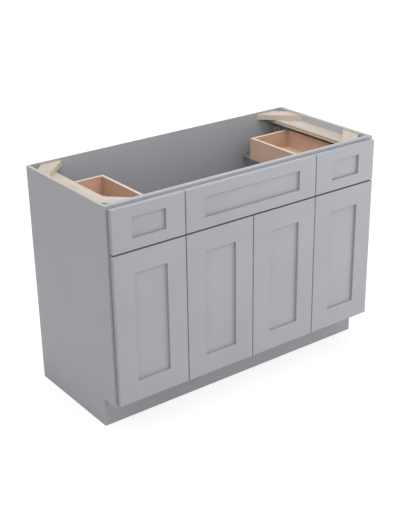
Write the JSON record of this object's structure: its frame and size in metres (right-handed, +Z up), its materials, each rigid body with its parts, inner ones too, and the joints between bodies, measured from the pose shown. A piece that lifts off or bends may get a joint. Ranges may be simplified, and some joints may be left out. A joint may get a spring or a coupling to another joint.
{
  "type": "vanity base cabinet",
  "caption": "Floor-standing vanity base cabinet with an open top, face frame, shaker doors, a drawer on each side and a fixed false front over the sink bay.",
  "frame": {"origin": "on the floor under the middle of the outer box, fronts included", "axes": "+X to the right along the front, +Y to the back wall, +Z up"},
  "size_m": [1.2192, 0.5554, 0.8763],
  "materials": {
    "grey_paint": "satin grey paint on wood and plywood, raw plywood on the top edges",
    "raw_plywood": "bare sanded plywood with layered edges",
    "drawer_wood": "clear-coated hardwood, dovetailed",
    "zinc_steel": "bright zinc plate",
    "clip_plastic": "moulded plastic",
    "clear_bumper": "clear soft bumper"
  },
  "bodies": {
    "cabinet": {"left_side_panel": "grey_paint", "right_side_panel": "grey_paint", "back_panel": "grey_paint", "cabinet_floor": "grey_paint", "toe_board": "grey_paint", "frame_end_stiles": "grey_paint", "frame_mullions": "grey_paint", "frame_top_rail": "grey_paint", "frame_middle_rails": "grey_paint", "frame_bottom_rail": "grey_paint", "corner_blocks": "raw_plywood", "kicker_boards": "raw_plywood", "false_front_stiles": "grey_paint", "false_front_rails": "grey_paint", "false_front_panel": "grey_paint", "false_front_clips": "zinc_steel", "bumpers": "clear_bumper", "hinge_base_plates": "zinc_steel", "hinge_arms": "zinc_steel", "cabinet_screws": "zinc_steel", "slide_cabinet_members": "zinc_steel", "slide_rear_brackets": "zinc_steel"},
    "left_drawer": {"left_drawer_front_stiles": "grey_paint", "left_drawer_front_rails": "grey_paint", "left_drawer_front_panel": "grey_paint", "left_drawer_box_sides": "drawer_wood", "left_drawer_box_front": "drawer_wood", "left_drawer_box_back": "drawer_wood", "left_drawer_box_bottom": "drawer_wood", "left_drawer_slide_members": "zinc_steel", "left_drawer_clips": "clip_plastic", "left_drawer_screws": "zinc_steel"},
    "right_drawer": {"right_drawer_front_stiles": "grey_paint", "right_drawer_front_rails": "grey_paint", "right_drawer_front_panel": "grey_paint", "right_drawer_box_sides": "drawer_wood", "right_drawer_box_front": "drawer_wood", "right_drawer_box_back": "drawer_wood", "right_drawer_box_bottom": "drawer_wood", "right_drawer_slide_members": "zinc_steel", "right_drawer_clips": "clip_plastic", "right_drawer_screws": "zinc_steel"},
    "left_slide_middle": {"left_slide_middle_members": "zinc_steel"},
    "right_slide_middle": {"right_slide_middle_members": "zinc_steel"},
    "door_1": {"door_1_stiles": "grey_paint", "door_1_rails": "grey_paint", "door_1_panel": "grey_paint", "door_1_hinge_cups": "zinc_steel"},
    "door_2": {"door_2_stiles": "grey_paint", "door_2_rails": "grey_paint", "door_2_panel": "grey_paint", "door_2_hinge_cups": "zinc_steel"},
    "door_3": {"door_3_stiles": "grey_paint", "door_3_rails": "grey_paint", "door_3_panel": "grey_paint", "door_3_hinge_cups": "zinc_steel"},
    "door_4": {"door_4_stiles": "grey_paint", "door_4_rails": "grey_paint", "door_4_panel": "grey_paint", "door_4_hinge_cups": "zinc_steel"}
  },
  "joints": [
    {"name": "door_1_hinge", "type": "hinge", "parent": "cabinet", "child": "door_1", "pos_m": [-0.5913, -0.26927, 0.41273], "axis": [0, 0, -1], "range_deg": [0, 95]},
    {"name": "door_2_hinge", "type": "hinge", "parent": "cabinet", "child": "door_2", "pos_m": [-0.29045, -0.26927, 0.41273], "axis": [0, 0, -1], "range_deg": [0, 95]},
    {"name": "door_3_hinge", "type": "hinge", "parent": "cabinet", "child": "door_3", "pos_m": [0.29045, -0.26927, 0.41273], "axis": [0, 0, 1], "range_deg": [0, 95]},
    {"name": "door_4_hinge", "type": "hinge", "parent": "cabinet", "child": "door_4", "pos_m": [0.5913, -0.26927, 0.41273], "axis": [0, 0, 1], "range_deg": [0, 95]},
    {"name": "left_drawer_slide", "type": "slide", "parent": "cabinet", "child": "left_drawer", "axis": [0, -1, 0], "range_m": [0, 0.4]},
    {"name": "left_slide_middle_slide", "type": "slide", "parent": "cabinet", "child": "left_slide_middle", "axis": [0, -1, 0], "range_m": [0, 0.2]},
    {"name": "right_drawer_slide", "type": "slide", "parent": "cabinet", "child": "right_drawer", "axis": [0, -1, 0], "range_m": [0, 0.4]},
    {"name": "right_slide_middle_slide", "type": "slide", "parent": "cabinet", "child": "right_slide_middle", "axis": [0, -1, 0], "range_m": [0, 0.2]}
  ],
  "couplings": [
    {"joint": "left_slide_middle_slide", "follows": "left_drawer_slide", "ratio": 0.5},
    {"joint": "right_slide_middle_slide", "follows": "right_drawer_slide", "ratio": 0.5}
  ]
}
